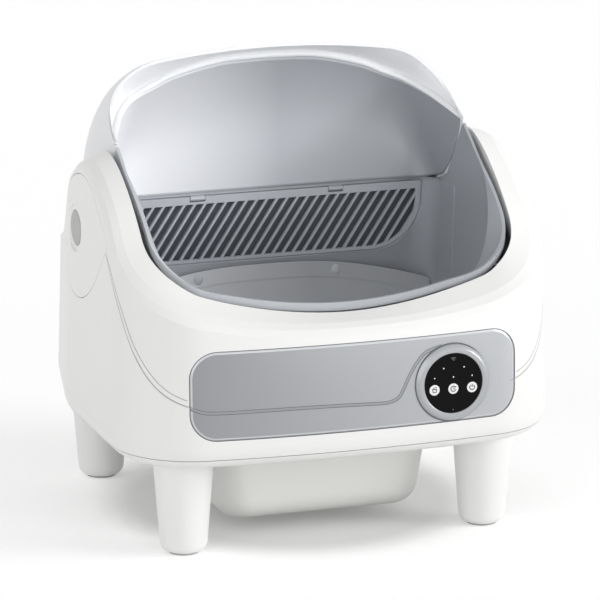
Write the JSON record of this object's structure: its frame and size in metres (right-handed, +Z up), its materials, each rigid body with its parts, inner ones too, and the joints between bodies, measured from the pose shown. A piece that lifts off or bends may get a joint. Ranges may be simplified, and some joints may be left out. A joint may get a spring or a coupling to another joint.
{
  "type": "self-cleaning litter box",
  "caption": "Self-cleaning cat litter box: a hooded drum with a sieve turns in a rounded body on legs and drops waste into a slide-out bin below.",
  "frame": {"origin": "on the floor, under the middle of the body", "axes": "X to the right seen from the front, Y to the back, Z up"},
  "size_m": [0.5524, 0.5303, 0.5689],
  "materials": {
    "body_white": "fine satin moulding",
    "bin_white": "satin moulding",
    "panel_grey": "fine matt moulding",
    "ring_grey": "satin with a soft highlight",
    "black_glass": "polished",
    "button_white": "satin",
    "drum_grey": "satin moulding",
    "hood_grey": "satin moulding",
    "sieve_grey": "satin moulding",
    "mat_grey": "matt silicone",
    "pad_rubber": "matt",
    "steel": "plain plated",
    "dark_plastic": "matt",
    "bearing_plastic": "plain acetal",
    "circuit_board": "solder mask"
  },
  "bodies": {
    "base": {"lower_body": "body_white", "front_upper_cover": "body_white", "rear_upper_cover": "body_white", "side_cover_left": "body_white", "side_cover_right": "body_white", "base_pan": "body_white", "leg_front_left": "body_white", "leg_front_right": "body_white", "leg_rear_left": "body_white", "leg_rear_right": "body_white", "front_panel": "panel_grey", "dial_bezel": "ring_grey", "touch_glass": "black_glass", "foot_pad_front_left": "pad_rubber", "foot_pad_front_right": "pad_rubber", "foot_pad_rear_left": "pad_rubber", "foot_pad_rear_right": "pad_rubber", "leg_studs": "steel", "leg_nuts": "steel", "bracket_screws": "steel", "drum_bracket_left": "steel", "drum_bracket_right": "steel", "drive_motor": "steel", "load_cell_front_left": "steel", "load_cell_front_right": "steel", "load_cell_rear_left": "steel", "load_cell_rear_right": "steel", "bin_rail_left": "dark_plastic", "bin_rail_right": "dark_plastic", "gearbox": "dark_plastic", "dc_inlet": "dark_plastic", "button_cup_left": "dark_plastic", "button_cup_right": "dark_plastic", "button_switch_left": "dark_plastic", "button_switch_right": "dark_plastic", "board_standoffs": "dark_plastic", "waste_chute": "dark_plastic", "home_sensor": "dark_plastic", "drum_bush_left": "bearing_plastic", "drum_bush_right": "bearing_plastic", "touch_board": "circuit_board", "main_board": "circuit_board"},
    "drum": {"bowl": "drum_grey", "hood_shell": "hood_grey", "hood_bezel": "hood_grey", "hood_liner": "drum_grey", "sieve_frame": "drum_grey", "sieve_clips": "drum_grey", "litter_mat": "mat_grey", "mat_snaps": "mat_grey", "trunnion_left": "bearing_plastic", "trunnion_right": "bearing_plastic", "drum_gear": "bearing_plastic", "home_magnet": "steel"},
    "sieve": {"sieve": "sieve_grey"},
    "drive_pinion": {"drive_pinion": "bearing_plastic"},
    "waste_bin": {"waste_bin": "bin_white"},
    "button_left": {"release_button_left": "button_white"},
    "button_right": {"release_button_right": "button_white"}
  },
  "joints": [
    {"name": "drum_turn", "type": "hinge", "parent": "base", "child": "drum", "pos_m": [0, 0.014, 0.364], "axis": [-1, 0, 0], "range_deg": [0, 180]},
    {"name": "pinion_turn", "type": "hinge", "parent": "base", "child": "drive_pinion", "pos_m": [0.2295, 0.06562, 0.29028], "axis": [-1, 0, 0], "range_deg": [-900, 0]},
    {"name": "sieve_swing", "type": "hinge", "parent": "drum", "child": "sieve", "pos_m": [0, 0.0822, 0.37315], "axis": [-1, 0, 0], "range_deg": [0, 60]},
    {"name": "bin_slide", "type": "slide", "parent": "base", "child": "waste_bin", "axis": [0, -1, 0], "range_m": [0, 0.29]},
    {"name": "button_left_press", "type": "slide", "parent": "base", "child": "button_left", "axis": [1, 0, 0], "range_m": [0, 0.004], "stiffness_N_per_m": 900, "springref_m": -0.001},
    {"name": "button_right_press", "type": "slide", "parent": "base", "child": "button_right", "axis": [-1, 0, 0], "range_m": [0, 0.004], "stiffness_N_per_m": 900, "springref_m": -0.001}
  ],
  "couplings": [
    {"joint": "pinion_turn", "follows": "drum_turn", "ratio": -5}
  ]
}
